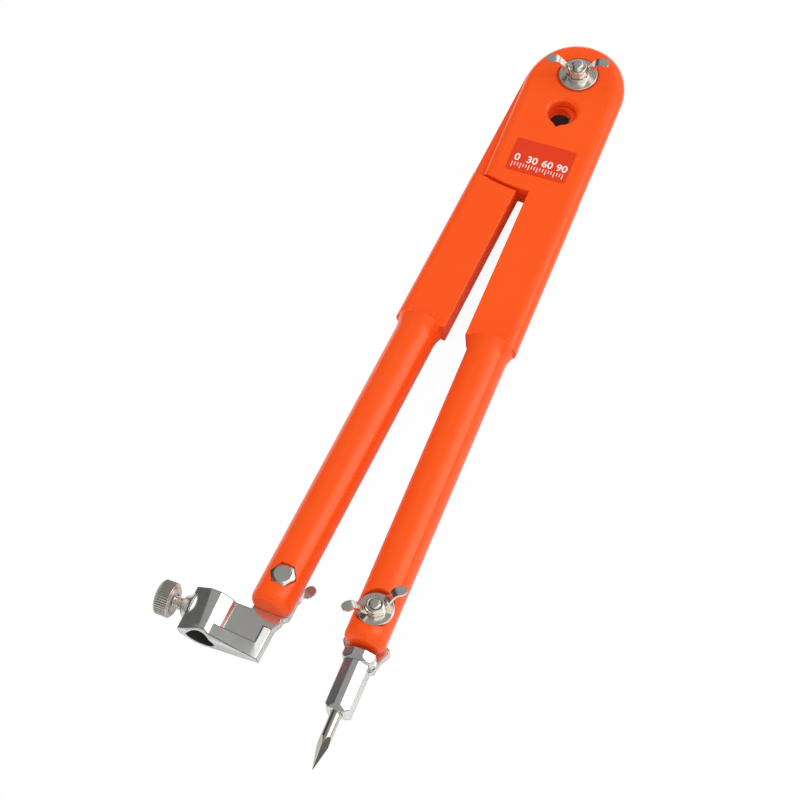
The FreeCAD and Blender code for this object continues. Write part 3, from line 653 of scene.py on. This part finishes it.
leg_opening = -4.0
head_height, across_flats, head_top = 2.8, 7.0, 2.75
upside_down = Matrix.Rotation(math.pi, 4, "X")
for place, body, upward, turn in (("pivot", "pencil_leg", True, leg_opening),
                                  ("needle", "needle_arm", True, 0.0),
                                  ("pencil", "pencil_leg", False, leg_opening)):
    node = place + "_bolt"
    low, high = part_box(node)
    shank_length = (high[2] - low[2]) / MM - head_height
    head = hex_head(node + "_head", across_flats, head_height, head_top, turn)
    head.transform(upside_down)
    shank = grow(node + "_shank", thread_tree, length=(shank_length - 0.3) * MM)
    tip = turned(node + "_tip", [
        (0, shank_length - 0.5, 0), (1.95, shank_length - 0.5, 0),
        (1.6, shank_length - 0.16, 0.25), (0.9, shank_length - 0.02, 0.5),
        (0, shank_length, 0)], 30)
    mesh = join_meshes(node + "_steel", head, shank, tip)
    if not upward:
        mesh.transform(upside_down)
    middle = (low + high) / 2
    seat = low[2] + head_height * MM if upward else high[2] - head_height * MM
    stand_at(mesh, middle[0], middle[1], seat)
    fit_hardware(node + "_steel", mesh, body, node)


# ---- The wing nuts ----
# Pressed from steel sheet: a threaded hub with soft flats, and two wings that stand up from
# its sides and turn outward into rounded thumb pads. They are plated like the washers, the
# one behind the pencil leg with a satin finish and a darker colour, which is painted shade.
wing_sheet = 0.95
wing_path = [(0.0, 2.6, 0.55), (0.08, 3.05, 1.0), (0.45, 5.75, 4.95), (0.54, 6.5, 5.8),
             (0.62, 7.2, 6.0), (0.74, 8.15, 5.9), (0.87, 9.2, 5.78), (1.0, 10.18, 5.65)]
pad_half, pad_start, pad_reach = 1.63, 0.72, 0.285
wing_widths = [(0.0, 1.35), (0.08, 1.3), (0.45, 1.3), (0.54, 1.38), (0.62, 1.52), (0.74, pad_half)]


def at_share(t, stations):
    """The values at t, between the stations, each of which starts with its own t."""
    for first, second in zip(stations, stations[1:]):
        if t <= second[0]:
            share = (t - first[0]) / (second[0] - first[0])
            return [a + (b - a) * share for a, b in zip(first[1:], second[1:])]
    return list(stations[-1][1:])


def wing_half(t):
    """Half the wing's width at t, from the hub at 0 to the end of the pad at 1."""
    if t > pad_start:
        return pad_half * math.sqrt(max(0.02, 1 - ((t - pad_start) / pad_reach) ** 2))
    return at_share(t, wing_widths)[0]


def wing_mesh(name):
    shape = bmesh.new()
    along, across = 28, 6
    sharp = [at_share(k / along, wing_path) for k in range(along + 1)]
    smooth = []
    for k, spot in enumerate(sharp):
        near = sharp[max(0, k - 1)], spot, sharp[min(along, k + 1)]
        smooth.append(Vector([sum(v[i] for v in near) / 3 for i in range(2)]))
    rows = []
    for k, spot in enumerate(smooth):
        ahead = smooth[min(along, k + 1)] - smooth[max(0, k - 1)]
        across_sheet = Vector((-ahead.y, ahead.x)).normalized() * wing_sheet / 2
        half = wing_half(k / along)
        top, bottom = [], []
        for i in range(across + 1):
            y = half * (2 * i / across - 1)
            for side, row in ((1, top), (-1, bottom)):
                p = spot + across_sheet * side
                row.append(shape.verts.new((p.x * MM, y * MM, p.y * MM)))
        rows.append((top, bottom))
    for (top, bottom), (next_top, next_bottom) in zip(rows, rows[1:]):
        for i in range(across):
            shape.faces.new((top[i], next_top[i], next_top[i + 1], top[i + 1]))
            shape.faces.new((bottom[i], bottom[i + 1], next_bottom[i + 1], next_bottom[i]))
        shape.faces.new((top[0], bottom[0], next_bottom[0], next_top[0]))
        shape.faces.new((top[-1], next_top[-1], next_bottom[-1], bottom[-1]))
    for top, bottom in (rows[0], rows[-1]):
        for i in range(across):
            shape.faces.new((top[i], top[i + 1], bottom[i + 1], bottom[i]))
    return closed_skin(name, shape, 40)


# For the nut behind the pencil leg: rougher than the bright nickel for a satin finish, and darker
# as painted shade.
satin_nickel_painted_shade, tree, shader = new_material("satin_nickel_painted_shade")
tint(tree, shader, noise(tree, 110, 3), (0.56, 0.52, 0.50), (0.66, 0.62, 0.60))
shader.inputs["Metallic"].default_value = 1.0
roughen(tree, shader, noise(tree, 600, 4), 0.5, 0.62)
relief(tree, shader, noise(tree, 700, 3), 0.12, 0.06)

hub_outline = [(2.0, 0.0, 0.1), (3.1, 0.0, 0.12), (3.3, 0.3, 0.2),
               (3.25, 2.2, 0.4), (2.8, 2.97, 0.35), (2.0, 2.8, 0.15)]
hub_flats, hub_flat_depth = 6, 0.07
for place, body, turn, upward, plate in (("pivot", "hinge_nut", 12.0, True, nickel),
                                         ("needle", "needle_nut", 37.0, True, nickel),
                                         ("pencil", "pencil_nut", -54.0, False, satin_nickel_painted_shade)):
    node = place + "_wing_nut"
    low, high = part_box(node)
    hub = turned(node + "_hub", hub_outline, lobes=hub_flats, lobe_depth=hub_flat_depth)
    first = wing_mesh(node + "_wing")
    second = first.copy()
    second.transform(Matrix.Rotation(math.pi, 4, "Z"))
    mesh = join_meshes(node + "_pressing", hub, first, second)
    mesh.transform(Matrix.Rotation(math.radians(turn), 4, "Z"))
    if not upward:
        mesh.transform(upside_down)
    middle = (low + high) / 2
    stand_at(mesh, middle[0], middle[1], low[2] if upward else high[2])
    nut = rounded(new_piece(node + "_pressing", mesh, plate), 0.16, 50)
    fit(nut, body, "nickel_hardware", node)


# ---- The needle holder and the pencil holder ----
# Zinc castings in bright chrome, each with a tongue under the end of its leg. The needle's has
# a square collar and barrel with bevelled corners, the pencil's a faceted barrel with a bore,
# whose walls are painted near-black as painted shade.
chrome, tree, shader = new_material("chrome_plate")
tint(tree, shader, noise(tree, 45, 2), (0.82, 0.82, 0.80), (0.88, 0.88, 0.86))
shader.inputs["Metallic"].default_value = 0.94
roughen(tree, shader, noise(tree, 350, 4), 0.16, 0.24)
relief(tree, shader, noise(tree, 170, 2), 0.06, 0.12, rounded_edges(tree, 0.7, 12))
# Painted shade in the creases and a painted dark reflection along the edges.
paint_edge_shade(tree, shader, 0.55, (0.05, 0.05, 0.055), 0.95)

# Near-black paint for the walls of the pencil holder's bore: painted shade.
bore_shade, tree, shader = new_material("bore_painted_shade")
tint(tree, shader, noise(tree, 160, 3), (0.05, 0.048, 0.046), (0.12, 0.115, 0.11))
shader.inputs["Metallic"].default_value = 0.6
roughen(tree, shader, noise(tree, 500, 4), 0.5, 0.7)
relief(tree, shader, noise(tree, 800, 3), 0.3, 0.1)

swing = Matrix.Rotation(math.radians(leg_opening), 4, "Z")
bore_radius, bore_slack = 4.5, 0.2
bore_middle = swing @ Vector((-24.0 * MM, 0, 0.1 * MM))
along_bore = swing @ Vector((0, 1, 0))
for node, body in (("needle_holder", "needle_arm"), ("pencil_holder", "pencil_arm")):
    casting = joined_copy(node, node + "_casting", chrome, flat=0.6)
    casting.data.materials.append(bore_shade)
    # The faces of the bore's wall take the painted shade.
    if node == "pencil_holder":
        for face in casting.data.polygons:
            off = face.center - bore_middle
            off -= along_bore * off.dot(along_bore)
            is_wall = abs(face.normal.dot(along_bore)) < 0.5
            if is_wall and off.length < (bore_radius + bore_slack) * MM:
                face.material_index = 1
    rounded(casting, 0.25, 24, 3)
    fit(casting, body, "chrome_casting", node)


# ---- The needle ----
# A hardened steel rod pressed into the barrel of its holder, and ground to four sides at the
# point. The grinding leaves fine marks along it.
along_needle, along_point = (6, 1, 6), (8, 1, 8)
needle_steel, tree, shader = new_material("needle_steel")
tint(tree, shader, noise(tree, 150, 2, along_needle), (0.66, 0.61, 0.53), (0.78, 0.735, 0.65))
shader.inputs["Metallic"].default_value = 1.0
roughen(tree, shader, noise(tree, 700, 3, along_point), 0.10, 0.2)
relief(tree, shader, noise(tree, 900, 2, along_point), 0.12, 0.04)
fit(evened(joined_copy("needle", "needle_point", needle_steel, 16)),
    "needle_arm", "needle_steel", "needle")


# ---- The clamp screw and its knob ----
# A steel thumb screw that presses on the pencil: a threaded shank, and a turned knob in dull
# nickel with a straight coarse knurl between two plain bevelled rims.
dull, tree, shader = new_material("knurled_nickel")
tint(tree, shader, noise(tree, 140, 3), (0.60, 0.57, 0.50), (0.74, 0.70, 0.63))
shader.inputs["Metallic"].default_value = 1.0
roughen(tree, shader, noise(tree, 700, 4), 0.22, 0.38)
relief(tree, shader, noise(tree, 900, 3), 0.15, 0.06)

knurl_tree, sizes, end = geometry_tree("straight_knurl", {
    "ridges": 44, "radius": 5.3 * MM, "width": 0.62 * MM, "length": 3.7 * MM})
ring = new_node(knurl_tree, "GeometryNodeMeshCircle", {
    "Vertices": sizes["ridges"], "Radius": sizes["radius"]})
tooth = new_node(knurl_tree, "GeometryNodeMeshCylinder", {
    "Vertices": 8, "Depth": sizes["length"],
    "Radius": math_step(knurl_tree, "MULTIPLY", sizes["width"], 0.36)})
teeth = new_node(knurl_tree, "GeometryNodeInstanceOnPoints", {
    "Points": ring.outputs[0], "Instance": tooth.outputs["Mesh"]})
finish_tree(knurl_tree, end, teeth.outputs[0], dull)


def knob_end(dish):
    """Half the knob's outline as (radius, depth from the end's face, rounding)."""
    return [(0, dish, 0), (2.2, dish, 0.2), (2.9, 0, 0.3), (4.55, 0, 0.25),
            (5.5, 0.75, 0.2), (5.5, 0.95, 0.1), (5.28, 1.0, 0.05)]


knob_half, inner_dish, outer_dish = 2.7, 0.55, 0.45
knob_outline = [(r, -knob_half + depth, edge) for r, depth, edge in knob_end(inner_dish)]
knob_outline += [(r, knob_half - depth, edge) for r, depth, edge in reversed(knob_end(outer_dish))]
lie_down = swing @ Matrix.Rotation(math.radians(-90), 4, "Y")
knob_low, knob_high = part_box("clamp_knob")
knob_middle = (knob_low + knob_high) / 2
knob_body = turned("clamp_knob_body", knob_outline)
knurl = grow("clamp_knob_knurl", knurl_tree)
knob_mesh = join_meshes("clamp_knob_turning", knob_body, knurl)
knob_mesh.transform(lie_down)
stand_at(knob_mesh, *knob_middle)
fit(evened(new_piece("clamp_knob_turning", knob_mesh, dull)),
    "screw_knob", "knurled_nickel", "clamp_knob")

outward = swing @ Vector((-1, 0, 0))
tip_gap = 0.14 * MM
screw_low, screw_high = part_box("clamp_screw")
inner_end = knob_middle - outward * ((knob_middle[0] - screw_high[0]) / outward[0] + tip_gap)
inner_end[2] = (screw_low[2] + screw_high[2]) / 2
screw_length = (inner_end - knob_middle).length
screw_mesh = grow("clamp_screw_shank", thread_tree, length=screw_length)
screw_mesh.transform(lie_down)
stand_at(screw_mesh, *inner_end)
fit_hardware("clamp_screw_shank", smooth_skin(screw_mesh, 28), "screw_shank", "clamp_screw")
